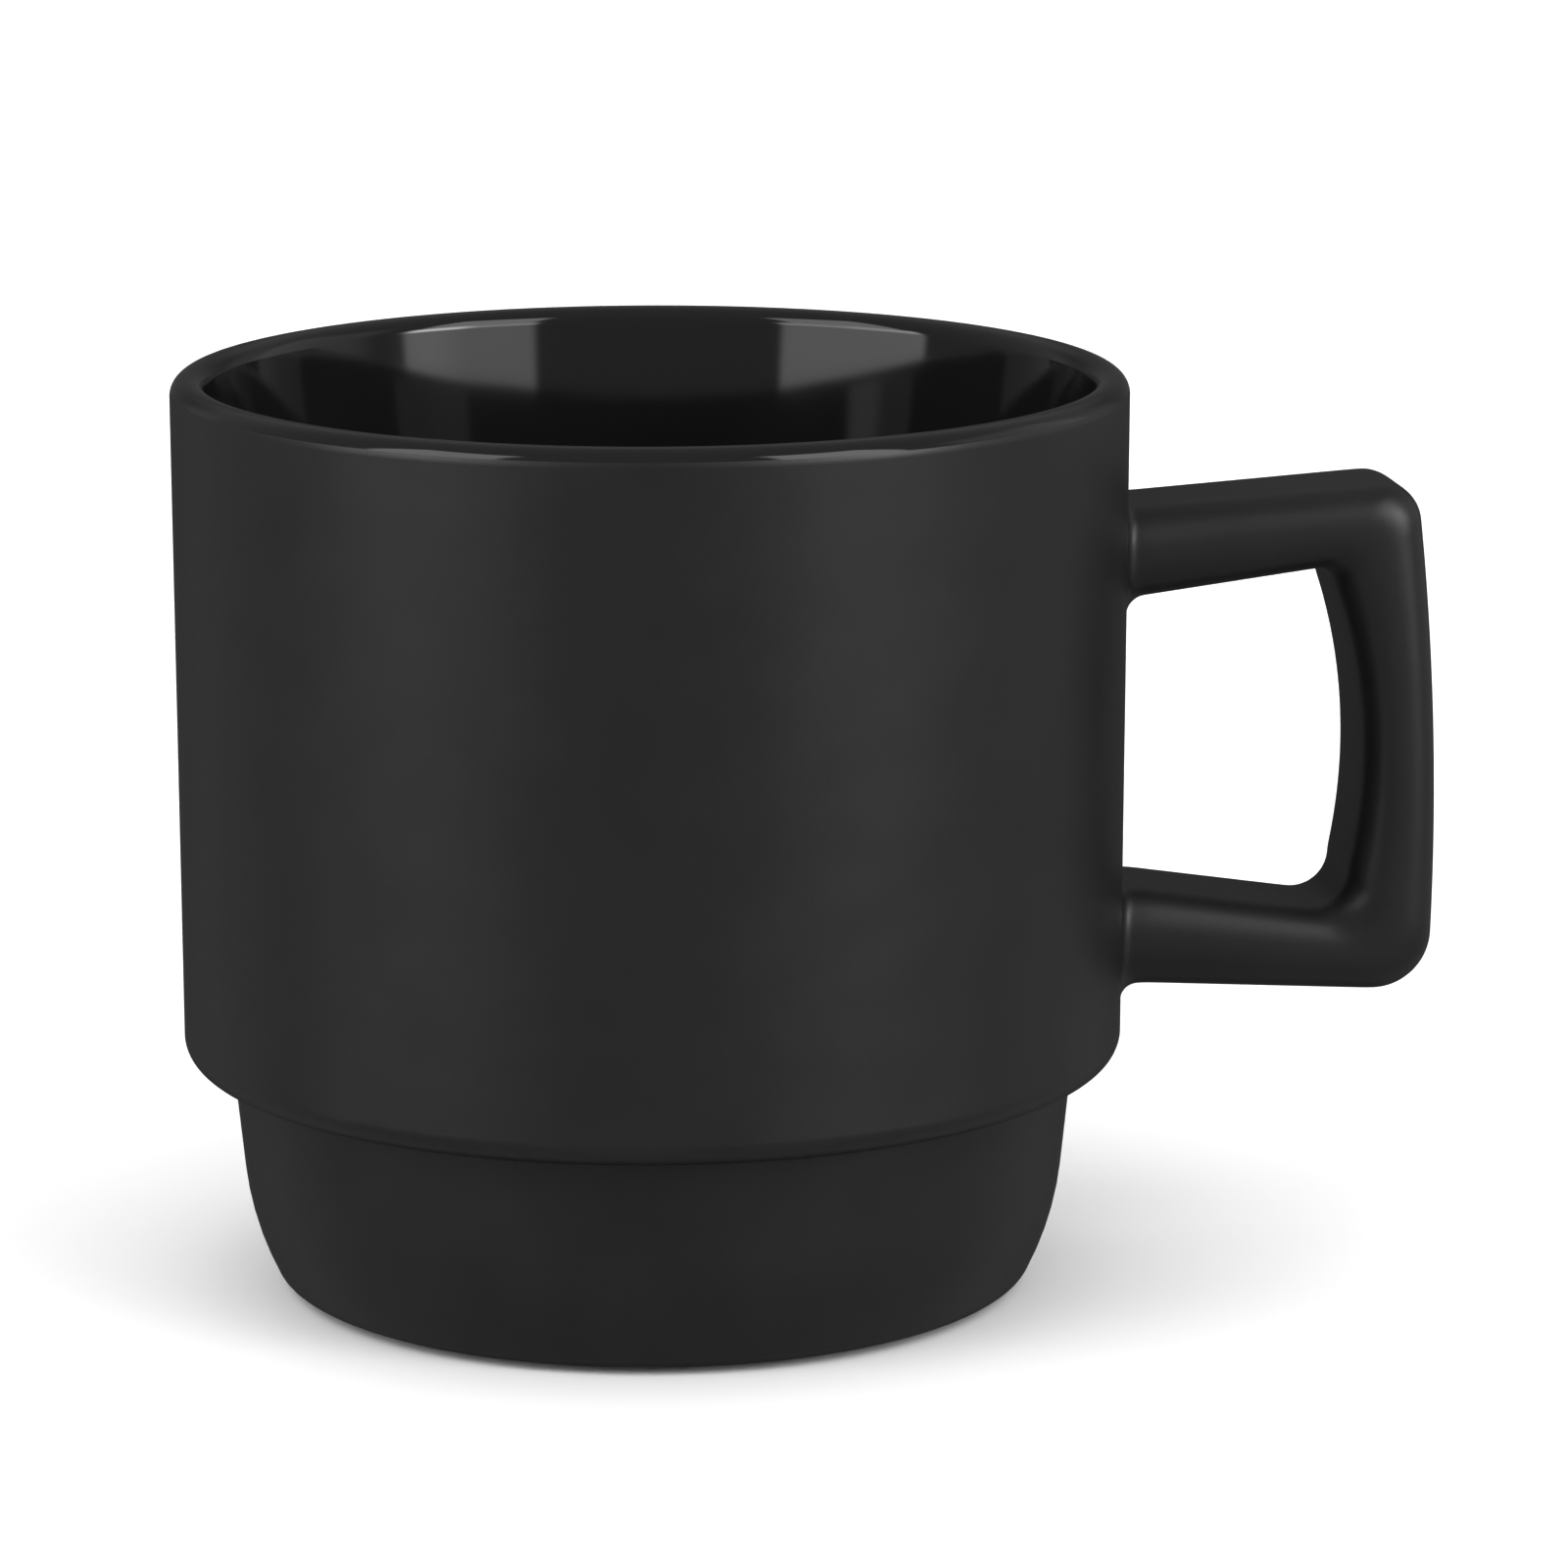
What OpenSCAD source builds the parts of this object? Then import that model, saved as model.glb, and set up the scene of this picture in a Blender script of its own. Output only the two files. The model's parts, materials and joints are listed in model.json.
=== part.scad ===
// Stackable stoneware mug with a square loop handle.
//
// Millimetres, +Z up.  The origin is the centre of the foot ring on the table.
// The handle lies in the XZ plane on the +X side.
//
// Every outline is written once, as a function of "depth": how far below the
// glazed surface the outline lies.  Depth 0 is the finished surface and depth
// glaze_t is the fired clay, so each coat of glaze fits its clay exactly.

/* [Bowl] */
// Height from the table to the top of the lip
height = 87.3; // [84:0.1:106]
// Outside diameter at the lip
rim_d = 90; // [74:0.5:110]
// Radius that the outer wall loses between the lip and the shoulder
wall_draft = 0.3; // [0.1:0.1:1.5]
// Thickness of the rounded lip
lip_t = 3.5; // [2.8:0.1:4.4]
// Slope of the inside just below the lip, where the wall thickens, in degrees
lip_taper = 7.5; // [5:0.5:9]
// Length of that slope
lip_taper_h = 10; // [7:0.5:13]
// Radius between that slope and the straight inside wall
lip_blend_r = 60; // [40:5:80]
// Clay and glaze between the inside floor and the underside
floor_t = 5; // [4:0.1:6.5]
// Radius between the inside floor and the well's wall
floor_fillet = 9; // [5:0.5:12]

/* [Stacking step] */
// Height from the table to the underside of the step
step_h = 21.9; // [18:0.1:27]
// Radius of the shoulder above the step
shoulder_r = 2.4; // [1.6:0.1:3]
// Gap all round between the spigot and the mouth that it nests in
nest_gap = 1.4; // [0.6:0.1:2.5]
// Slope of the spigot's side, in degrees from upright
spigot_taper = 5.9; // [3:0.1:8]
// Height of the spigot's straight taper
taper_h = 9.7; // [8:0.1:12]
// Glaze fillet in the corner under the step
step_fillet = 1; // [0.5:0.1:1.6]
// Thickness of the spigot's wall
spigot_t = 5; // [4.4:0.1:6]
// Clay and glaze over the step, inside the bowl
ledge_t = 4.6; // [3.5:0.1:6]
// Radius at the foot of the bowl's inside wall
ledge_fillet = 2.6; // [2:0.1:3.2]

/* [Base and foot] */
// Radius of the curve below the taper
belly_r = 27.8; // [24:0.1:34]
// Radius of the corner between the side and the underside
heel_r = 1.9; // [1:0.1:3]
// Distance in from the bottom of that corner to the foot ring
foot_inset = 4.6; // [2.5:0.1:10]
// Width of the foot ring
foot_w = 3; // [2:0.1:5]
// Height of the foot ring below the underside
foot_h = 0.6; // [0.5:0.1:1.5]
// Radius of the foot ring's two edges
foot_edge_r = 0.4; // [0.2:0.1:0.6]
// How much higher the underside is inside the foot ring
recess_rise = 0.6; // [0:0.1:1.5]

/* [Glaze] */
// Thickness of every coat of glaze
glaze_t = 0.35; // [0.25:0.05:0.5]
// Where gloss meets satin on the lip, in degrees up from its outer side
gloss_edge = 20; // [5:1:60]
// Bare clay left between a coat of glaze and the foot ring
bare_margin = 0.8; // [0.4:0.1:2]

/* [Handle] */
// Distance down from the lip to the upper arm, at the wall
upper_drop = 13.2; // [10:0.1:18]
// Distance up from the step to the lower arm, at the wall
lower_rise = 5.8; // [5:0.1:9]
// Height of the upper arm at the wall
upper_arm_t = 8.8; // [7:0.1:11]
// Height of the lower arm at the wall
lower_arm_t = 9.7; // [7:0.1:12]
// Distance that the upper arm climbs from the wall to its corner
upper_climb = 1.9; // [0:0.1:3]
// Distance that the lower arm falls from the wall to its corner
lower_fall = 1.8; // [0:0.1:3]
// Height of each arm at its corner
corner_t = 8.2; // [6.5:0.1:10]
// Distance from the wall to the outer face, at the upper corner
upper_reach = 28.3; // [25:0.1:36]
// Distance from the wall to the outer face, at the lower corner
lower_reach = 30.4; // [25:0.1:38]
// Thickness of the grip at its two ends
grip_t = 8.4; // [6.5:0.1:10]
// Outward bow of the grip's outer face
outer_bow = 0.7; // [0:0.1:1.5]
// Outward bow of the grip's inner face
inner_bow = 1.9; // [0:0.1:2.4]
// Radius of the outer corner, at the upper arm
upper_outer_r = 3.9; // [3:0.1:8]
// Radius of the outer corner, at the lower arm
lower_outer_r = 5.6; // [3:0.1:8]
// Radius of the inner corner, at the upper arm
upper_inner_r = 1.7; // [1.5:0.1:4]
// Radius of the inner corner, at the lower arm
lower_inner_r = 3.5; // [1.5:0.1:4]
// Width of the handle across the loop
handle_w = 15; // [12:0.1:18]
// Radius of the handle's long edges
edge_r = 3.6; // [2.6:0.1:4.2]

/* [Joints] */
// Thickness of the slip between the handle's ends and the wall
slip_t = 0.6; // [0.3:0.1:1]
// Fillet between the wall and the top of each arm
fillet_top = 1.1; // [0.8:0.1:1.8]
// Fillet between the wall and the sides of each arm
fillet_side = 0.9; // [0.8:0.1:1.8]
// Fillet between the wall and the underside of each arm
fillet_below = 2; // [0.8:0.1:2.4]

/* [Hidden] */
$fn = 180;

clay = "tan";
slip = "wheat";
satin_black = [0.13, 0.13, 0.14];
gloss_black = [0.04, 0.04, 0.05];

// Lip: a half-round that the wall thickens from.
rim_r = rim_d / 2;
lip_r = lip_t / 2;
lip_c = [rim_r - lip_r, height - lip_r];
mouth_r = rim_r - lip_t;

// Shoulder: the outer wall turns in to the step's underside.
shoulder_c = [rim_r - wall_draft - shoulder_r, step_h + shoulder_r];

// Spigot: nests in the mouth of a mug below.
spigot_r = mouth_r - nest_gap;
t_cos = cos(spigot_taper);
t_sin = sin(spigot_taper);
step_fillet_c = [spigot_r + step_fillet, step_h - step_fillet];
taper_top = step_fillet_c - step_fillet * [t_cos, -t_sin];
taper_end = taper_top - taper_h * [tan(spigot_taper), 1];
belly_c = taper_end - belly_r * [t_cos, -t_sin];

// Heel: touches the belly curve and the underside.
heel_z = foot_h + heel_r;
heel_c = [
    belly_c[0] + sqrt(pow(belly_r - heel_r, 2) - pow(heel_z - belly_c[1], 2)),
    heel_z
];
heel_angle = atan2(heel_c[1] - belly_c[1], heel_c[0] - belly_c[0]);

// Foot ring and the recess inside it.
foot_r = heel_c[0] - foot_inset;
foot_in_r = foot_r - foot_w;
recess_z = foot_h + recess_rise;

// Inside of the lip: a short slope, then a slow curve into the straight wall.
l_cos = cos(lip_taper);
l_sin = sin(lip_taper);
slope_top = lip_c + lip_r * [-l_cos, l_sin];
slope_end = slope_top - lip_taper_h * [l_sin, l_cos];
lip_blend_c = slope_end + lip_blend_r * [l_cos, -l_sin];
bowl_r = lip_blend_c[0] - lip_blend_r;

// Ledge over the step, then the well inside the spigot.
well_r = spigot_r - spigot_t;
ledge_z = step_h + ledge_t;
ledge_round = bowl_r - well_r - ledge_fillet;
ledge_fillet_c = [bowl_r - ledge_fillet, ledge_z + ledge_fillet];
ledge_round_c = [well_r + ledge_round, ledge_z - ledge_round];
floor_z = recess_z + floor_t;
well_top = ledge_round_c - ledge_round * [t_cos, t_sin];
well_end_z = floor_z + floor_fillet * (1 - t_sin);
well_end = [well_top[0] - (well_top[1] - well_end_z) * tan(spigot_taper), well_end_z];
floor_fillet_c = [well_end[0] - floor_fillet * t_cos, floor_z + floor_fillet];

// Straight segments that stand for each round stretch of an outline.
fine = 16;
coarse = 8;

// Handle: levels at the wall, counted from the table.
upper_top_z = height - upper_drop;
upper_low_z = upper_top_z - upper_arm_t;
lower_low_z = step_h + lower_rise;
lower_top_z = lower_low_z + lower_arm_t;

// Each arm starts inside the wall and is cut to the wall's curve.
bury = 6;
root_x = rim_r - bury;

// Sections along each arm, round each corner and down the grip.
arm_steps = 3;
corner_steps = 6;
grip_steps = 8;
// Segments round each long edge of the handle's section, and the least flat between.
edge_steps = 4;
edge_flat = 0.2;
// Sections of the slip along its fillet, and segments round its long edges.
slip_steps = 5;
slip_edge_steps = 5;
// How deep the fillet's two rims lie, one in the wall and one in the arm.
slip_sink = 0.06;
// Past the fillet the slip runs on into the arm: how far along it and how deep.
slip_past = 1;
slip_bite = 0.3;
// How far behind the wall's clay the slip's solid starts.
slip_root = 1;

// Points on an arc from angle a to angle b.
function arc(c, r, a, b, steps) = [
    for (i = [0 : steps])
        let (t = a + (b - a) * i / steps)
        [c[0] + r * cos(t), c[1] + r * sin(t)]
];

function reversed(list) = [for (i = [len(list) - 1 : -1 : 0]) list[i]];

// Outside outline, from the gloss edge on the lip down to the underside.
function outer_line(depth) = concat(
    arc(lip_c, lip_r - depth, gloss_edge, 0, 2),
    arc(shoulder_c, shoulder_r - depth, 0, -90, fine / 2),
    arc(step_fillet_c, step_fillet + depth, 90, 180 - spigot_taper, coarse),
    arc(belly_c, belly_r - depth, -spigot_taper, heel_angle, coarse),
    arc(heel_c, heel_r - depth, heel_angle, -90, coarse)
);

// Inside outline, from the gloss edge over the lip to the middle of the floor.
function inner_line(depth) = concat(
    arc(lip_c, lip_r - depth, gloss_edge, 180 - lip_taper, fine),
    arc(lip_blend_c, lip_blend_r - depth, 180 - lip_taper, 180, coarse),
    arc(ledge_fillet_c, ledge_fillet + depth, 0, -90, coarse),
    arc(ledge_round_c, ledge_round - depth, 90, 180 + spigot_taper, coarse),
    arc(floor_fillet_c, floor_fillet + depth, -spigot_taper, -90, fine),
    [[0, floor_z - depth]]
);

// Foot ring and recess of the bare clay, from the underside to the axis.
function foot_line() = concat(
    [[foot_r, foot_h + glaze_t]],
    arc([foot_r - foot_edge_r, foot_edge_r], foot_edge_r, 0, -90, coarse / 2),
    arc([foot_in_r + foot_edge_r, foot_edge_r], foot_edge_r, -90, -180, coarse / 2),
    [[foot_in_r, recess_z + glaze_t], [0, recess_z + glaze_t]]
);

// Straight part of the outer wall, filled to the axis.
module wall_core(depth) {
    translate([0, 0, shoulder_c[1]])
        cylinder(
            h = lip_c[1] - shoulder_c[1],
            r1 = rim_r - wall_draft - depth,
            r2 = rim_r - depth
        );
}

// A coat between the finished outline and the clay under it.
module coat(finished, clay_line) {
    rotate_extrude() polygon(concat(finished, reversed(clay_line)));
}

// Replaces the corner b of the path a-b-c by an arc of radius r.
function corner(a, b, c, r) =
    let (
        u = (a - b) / norm(a - b),
        v = (c - b) / norm(c - b),
        half = acos(u * v) / 2,
        centre = b + (u + v) / norm(u + v) * r / sin(half),
        first = b + u * r / tan(half) - centre,
        last = b + v * r / tan(half) - centre,
        a0 = atan2(first[1], first[0]),
        turn = 2 * half - 180
    )
    arc(centre, r, a0, a0 + turn, corner_steps);

// Points between two ends, without the ends, bowed out to one side.
function between(a, b, steps, bow) =
    let (side = [a[1] - b[1], b[0] - a[0]] / norm(b - a))
    [
        for (i = [1 : steps - 1])
            let (t = i / steps)
            a + (b - a) * t + side * bow * 4 * t * (1 - t)
    ];

// One side of the handle's loop in the XZ plane, from root to root.
function loop_side(top, upper_corner, lower_corner, low, upper_r, lower_r, bow) =
    let (
        c1 = corner(top, upper_corner, lower_corner, upper_r),
        c2 = corner(upper_corner, lower_corner, low, lower_r)
    )
    concat(
        [top], between(top, c1[0], arm_steps, 0),
        c1, between(c1[corner_steps], c2[0], grip_steps, bow), c2,
        between(c2[corner_steps], low, arm_steps, 0), [low]
    );

function upper_line_z(z, climb, x) = z + climb * (x - rim_r) / upper_reach;
function lower_line_z(z, fall, x) = z - fall * (x - rim_r) / lower_reach;

// The inner edge of each arm leaves the wall so that the arm ends corner_t high.
upper_in_climb = upper_climb + upper_arm_t - corner_t;
lower_in_fall = lower_fall + lower_arm_t - corner_t;

function outer_side() = loop_side(
    [root_x, upper_line_z(upper_top_z, upper_climb, root_x)],
    [rim_r + upper_reach, upper_top_z + upper_climb],
    [rim_r + lower_reach, lower_low_z - lower_fall],
    [root_x, lower_line_z(lower_low_z, lower_fall, root_x)],
    upper_outer_r, lower_outer_r, outer_bow
);

function inner_side() = loop_side(
    [root_x, upper_line_z(upper_low_z, upper_in_climb, root_x)],
    [rim_r + upper_reach - grip_t, upper_top_z + upper_climb - corner_t],
    [rim_r + lower_reach - grip_t, lower_low_z - lower_fall + corner_t],
    [root_x, lower_line_z(lower_top_z, lower_in_fall, root_x)],
    upper_inner_r, lower_inner_r, inner_bow
);

// Outline of a rounded rectangle: thick along a, wide along b.
function section(half_t, half_w, r, steps) = [
    for (q = [0 : 3], j = [0 : steps])
        let (
            t = 90 * (q + j / steps),
            sa = (q == 0 || q == 3) ? 1 : -1,
            sb = (q < 2) ? 1 : -1
        )
        [sa * (half_t - r) + r * cos(t), sb * (half_w - r) + r * sin(t)]
];

// Section of the handle between two points of its sides.
function handle_ring(outer, inner, depth) =
    let (
        half_t = norm(outer - inner) / 2,
        middle = (outer + inner) / 2,
        u = (outer - inner) / (2 * half_t),
        r = min(edge_r, half_t - edge_flat)
    )
    [
        for (p = section(half_t - depth, handle_w / 2 - depth, r - depth, edge_steps))
            let (m = middle + u * p[0])
            [m[0], p[1], m[1]]
    ];

// Mean of a list of points.
function centre(points) = [for (p = points) 1] * points / len(points);

// Solid skin over a row of rings with the same number of points.
module loft(rings) {
    last = len(rings) - 1;
    ring_n = len(rings[0]);
    points = [for (ring = rings, p = ring) p];
    first_centre = len(points);
    last_centre = first_centre + 1;
    sides = [
        for (i = [0 : last - 1], j = [0 : ring_n - 1])
            let (
                k = (j + 1) % ring_n,
                a = i * ring_n + j,
                b = i * ring_n + k,
                c = (i + 1) * ring_n + k,
                d = (i + 1) * ring_n + j
            )
            each [[a, b, d], [b, c, d]]
    ];
    caps = [
        for (j = [0 : ring_n - 1])
            let (k = (j + 1) % ring_n)
            each [
                [k, j, first_centre],
                [last * ring_n + j, last * ring_n + k, last_centre]
            ]
    ];
    polyhedron(
        concat(points, [centre(rings[0]), centre(rings[last])]),
        concat(sides, caps)
    );
}

// The whole loop of the handle, its ends still inside the wall.
module handle_loop(depth) {
    outer = outer_side();
    inner = inner_side();
    loft([for (i = [0 : len(outer) - 1]) handle_ring(outer[i], inner[i], depth)]);
}

// Radius of the finished wall at a level on its straight stretch.
function wall_r(z) =
    rim_r - wall_draft * (lip_c[1] - z) / (lip_c[1] - shoulder_c[1]);

largest_fillet = max(fillet_top, fillet_side, fillet_below);
slip_end = largest_fillet + slip_past;

// How much wider than the arm the slip is, at a height h above the wall: a fillet
// of radius r, then a slow run into the arm.
function slip_grow(r, h, depth) =
    (h < r
        ? r - sqrt(max(0, pow(r + depth, 2) - pow(r - max(h, -depth), 2)))
        : -depth - slip_bite * (h - r) / (slip_end - r)
    ) - slip_sink;

// Section of a slip joint, at a height h above the wall and curved with it.  The
// arm's top and low side are each given as a level at the wall and a slope.
function slip_ring(top, low, h, depth) =
    let (
        above = slip_grow(fillet_top, h, depth),
        beside = slip_grow(fillet_side, h, depth),
        below = slip_grow(fillet_below, h, depth),
        top_z = top[0] + top[1] * h + above,
        low_z = low[0] + low[1] * h - below,
        half_t = (top_z - low_z) / 2,
        middle = (top_z + low_z) / 2,
        r = min(edge_r + max(above, beside, below), half_t - edge_flat)
    )
    [
        for (p = section(half_t, handle_w / 2 + beside, r, slip_edge_steps))
            let (bend_r = wall_r(middle + p[0]) + h - slip_sink)
            [sqrt(pow(bend_r, 2) - pow(p[1], 2)), p[1], middle + p[0]]
    ];

// Filleted slip joint round one end of the handle, from inside the wall outwards.
module slip_flare(top, low, depth) {
    heights = concat(
        [-slip_t - slip_root],
        [
            for (i = [0 : slip_steps])
                largest_fillet - (largest_fillet + depth) * cos(90 * i / slip_steps)
        ],
        [slip_end]
    );
    loft([for (h = heights) slip_ring(top, low, h, depth)]);
}

module upper_flare(depth) {
    slip_flare(
        [upper_top_z, upper_climb / upper_reach],
        [upper_low_z, upper_in_climb / upper_reach],
        depth
    );
}

module lower_flare(depth) {
    slip_flare(
        [lower_top_z, -lower_in_fall / lower_reach],
        [lower_low_z, -lower_fall / lower_reach],
        depth
    );
}

// Fired clay of the bowl, with its step, spigot and foot ring.
module body() {
    color(clay)
        rotate_extrude()
            polygon(concat(
                outer_line(glaze_t),
                foot_line(),
                reversed(inner_line(glaze_t))
            ));
}

// Fired clay of the handle, a layer of slip short of the wall.
module handle() {
    color(clay) difference() {
        handle_loop(glaze_t);
        wall_core(glaze_t - slip_t);
    }
}

// Slip that luted the upper arm to the wall.
module upper_joint() {
    color(slip) difference() {
        upper_flare(glaze_t);
        wall_core(glaze_t);
        handle();
    }
}

// Slip that luted the lower arm to the wall.
module lower_joint() {
    color(slip) difference() {
        lower_flare(glaze_t);
        wall_core(glaze_t);
        handle();
    }
}

// Gloss glaze over the inside and the lip.
module liner_glaze() {
    color(gloss_black) coat(inner_line(0), inner_line(glaze_t));
}

// Satin glaze outside, from the lip to the underside, open at the two joints.
module outer_glaze() {
    stop_r = foot_r + bare_margin;
    color(satin_black) difference() {
        coat(
            concat(outer_line(0), [[stop_r, foot_h]]),
            concat(outer_line(glaze_t), [[stop_r, foot_h + glaze_t]])
        );
        upper_flare(0);
        lower_flare(0);
    }
}

// Satin glaze over the handle and its two joints.
module handle_glaze() {
    color(satin_black) difference() {
        union() {
            handle_loop(0);
            upper_flare(0);
            lower_flare(0);
        }
        handle_loop(glaze_t);
        upper_flare(glaze_t);
        lower_flare(glaze_t);
        wall_core(glaze_t);
    }
}

// Satin glaze on the underside, inside the foot ring.
module recess_glaze() {
    color(satin_black)
        translate([0, 0, recess_z])
            cylinder(h = glaze_t, r = foot_in_r - bare_margin);
}

body();
handle();
upper_joint();
lower_joint();
liner_glaze();
outer_glaze();
handle_glaze();
recess_glaze();
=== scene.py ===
"""Looks of a stacking stoneware mug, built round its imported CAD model.

Everything stands in the CAD's frame: the origin is the middle of the foot ring, +Z is up
and the handle lies in the XZ plane on the +X side.  Sizes are written in millimetres and
turned into Blender's metres where a mesh is drawn.
"""

import json
import logging
import math
from abc import ABC, abstractmethod
from collections.abc import Callable
from dataclasses import dataclass, replace
from enum import Enum

import bmesh
import bpy
from mathutils import Matrix, Vector

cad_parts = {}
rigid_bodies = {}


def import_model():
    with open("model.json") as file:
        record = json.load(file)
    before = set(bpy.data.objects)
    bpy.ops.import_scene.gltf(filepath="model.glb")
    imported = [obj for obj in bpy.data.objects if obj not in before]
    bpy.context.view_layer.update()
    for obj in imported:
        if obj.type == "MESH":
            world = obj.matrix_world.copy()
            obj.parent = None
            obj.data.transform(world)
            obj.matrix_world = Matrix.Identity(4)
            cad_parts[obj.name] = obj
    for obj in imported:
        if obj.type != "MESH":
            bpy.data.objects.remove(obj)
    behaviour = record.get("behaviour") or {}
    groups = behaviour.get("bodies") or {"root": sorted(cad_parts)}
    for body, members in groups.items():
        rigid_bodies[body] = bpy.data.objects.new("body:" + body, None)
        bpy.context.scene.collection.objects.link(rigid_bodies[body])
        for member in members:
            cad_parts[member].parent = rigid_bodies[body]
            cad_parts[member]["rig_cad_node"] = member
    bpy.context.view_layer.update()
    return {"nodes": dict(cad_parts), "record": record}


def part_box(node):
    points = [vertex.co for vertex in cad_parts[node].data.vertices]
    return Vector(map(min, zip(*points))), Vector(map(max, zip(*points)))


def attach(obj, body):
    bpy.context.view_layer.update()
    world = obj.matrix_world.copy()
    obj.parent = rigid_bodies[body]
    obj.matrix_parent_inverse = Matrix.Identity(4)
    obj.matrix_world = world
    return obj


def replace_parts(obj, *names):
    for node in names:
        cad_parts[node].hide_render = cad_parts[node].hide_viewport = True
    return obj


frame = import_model()

log = logging.getLogger("mug")

MM = 0.001
BODY = "root"
# Vertices closer than this are one vertex, in metres.
SAME_PLACE = 1e-6
# The sharpest turn of a surface that is still shaded smooth, in degrees.
SMOOTH_TURN = 35.0

Colour = tuple[float, float, float]


class Slot(Enum):
    """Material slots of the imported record."""

    CLAY = "clay"
    SLIP = "slip"
    GLOSS = "gloss_glaze"
    SATIN = "satin_glaze"


# ----------------------------------------------------------------------------------------
# Modelling helpers
# ----------------------------------------------------------------------------------------


def clear_selection() -> None:
    """Deselects every object, so that an operator acts on the new one alone."""
    bpy.ops.object.select_all(action="DESELECT")


def select_vertices(piece: bpy.types.Object, chosen: Callable[[Vector], bool]) -> None:
    """Selects vertices of the mesh that is being edited, by their place.

    Args:
        piece: object in edit mode.
        chosen: says whether a vertex at this place, in metres, is selected.
    """
    mesh = bmesh.from_edit_mesh(piece.data)
    mesh.select_mode = {"VERT"}
    for vertex in mesh.verts:
        vertex.select = chosen(vertex.co)
    mesh.select_flush_mode()
    bmesh.update_edit_mesh(piece.data)


def apply_modifier(piece: bpy.types.Object, kind: str, **settings: object) -> None:
    """Adds a modifier to a piece and applies it.

    Args:
        piece: the active object.
        kind: Blender's name for the type of modifier.
        **settings: properties of the modifier.
    """
    bpy.ops.object.modifier_add(type=kind)
    modifier = piece.modifiers[-1]
    for name, value in settings.items():
        setattr(modifier, name, value)
    bpy.ops.object.modifier_apply(modifier=modifier.name)


def smooth(piece: bpy.types.Object) -> None:
    """Shades a piece smooth, and keeps its sharp edges sharp."""
    clear_selection()
    piece.select_set(True)
    bpy.ops.object.shade_smooth_by_angle(angle=math.radians(SMOOTH_TURN))


# ----------------------------------------------------------------------------------------
# Outlines and the pieces that are turned from them
# ----------------------------------------------------------------------------------------


@dataclass(frozen=True)
class Arc:
    """A round stretch of an outline in the XZ plane, or a plain corner if its radius is 0.

    Attributes:
        x: distance of the centre from the mug's axis, in millimetres.
        z: height of the centre.
        radius: radius of the stretch, or 0.
        start: angle at which it starts, in degrees, with 0 along +X and 90 straight up.
        end: angle at which it ends.
    """

    x: float
    z: float
    radius: float = 0.0
    start: float = 0.0
    end: float = 0.0

    def at(self, degrees: float) -> Vector:
        """Place of the arc's point at an angle, in metres."""
        turn = math.radians(degrees)
        along = Vector((math.cos(turn), 0.0, math.sin(turn))) * self.radius
        return (Vector((self.x, 0.0, self.z)) + along) * MM

    def backwards(self) -> "Arc":
        """The same stretch, drawn the other way."""
        return replace(self, start=self.end, end=self.start)


def backwards(outline: list[Arc]) -> list[Arc]:
    """The same outline, drawn from its end to its start."""
    return [arc.backwards() for arc in reversed(outline)]


class Lathe:
    """Draws an outline with one vertex and spins it about the mug's axis."""

    SIDES = 192
    # Longest steps along a round and a straight stretch.
    ARC_STEP = 4.5
    LINE_STEP = 3.0 * MM

    def __init__(self, name: str, start: Vector) -> None:
        """Puts a single vertex at the start of the outline.

        Args:
            name: name of the new piece.
            start: place of the outline's first point, in metres.
        """
        clear_selection()
        bpy.ops.mesh.primitive_plane_add(size=MM)
        self.piece: bpy.types.Object = bpy.context.active_object
        self.piece.name = name
        bpy.ops.object.mode_set(mode="EDIT")
        bpy.ops.mesh.select_all(action="SELECT")
        bpy.ops.mesh.merge(type="CENTER")
        bpy.ops.transform.translate(value=start)
        self.tip = start

    def line_to(self, place: Vector) -> None:
        """Extrudes the tip along a straight stretch to a place, in metres."""
        way = place - self.tip
        if way.length < SAME_PLACE:
            return
        steps = math.ceil(way.length / self.LINE_STEP)
        for _ in range(steps):
            bpy.ops.mesh.extrude_region_move(TRANSFORM_OT_translate={"value": way / steps})
        self.tip = place

    def follow(self, arc: Arc) -> None:
        """Draws a line to the start of an arc, then spins the tip round its centre."""
        self.line_to(arc.at(arc.start))
        if arc.radius * MM < SAME_PLACE:
            return
        turn = math.radians(arc.end - arc.start)
        by_angle = math.degrees(abs(turn)) / self.ARC_STEP
        by_length = abs(turn) * arc.radius * MM / self.LINE_STEP
        bpy.ops.mesh.spin(
            steps=math.ceil(max(by_angle, by_length)),
            angle=turn,
            center=arc.at(0) - Vector((arc.radius * MM, 0, 0)),
            axis=(0, 1, 0),
        )
        self.tip = arc.at(arc.end)

    def turn(self) -> bpy.types.Object:
        """Spins the finished outline into a closed solid.

        Returns:
            The piece, in object mode and shaded.
        """
        bpy.ops.mesh.select_all(action="SELECT")
        bpy.ops.mesh.spin(steps=self.SIDES, angle=math.tau, center=(0, 0, 0), axis=(0, 0, 1))
        bpy.ops.mesh.select_all(action="SELECT")
        bpy.ops.mesh.remove_doubles(threshold=SAME_PLACE)
        bpy.ops.mesh.normals_make_consistent(inside=False)
        bpy.ops.object.mode_set(mode="OBJECT")
        smooth(self.piece)
        apply_modifier(self.piece, "WEIGHTED_NORMAL", keep_sharp=True)
        return self.piece


def turned(name: str, outline: list[Arc], closed: bool) -> bpy.types.Object:
    """Makes a piece that is round about the mug's axis.

    Args:
        name: name of the piece.
        outline: its outline in the XZ plane.
        closed: whether the outline returns to its start, off the axis.

    Returns:
        The finished piece.
    """
    first = outline[0].at(outline[0].start)
    lathe = Lathe(name, first)
    for arc in outline:
        lathe.follow(arc)
    if closed:
        lathe.line_to(first)
    return lathe.turn()


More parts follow.
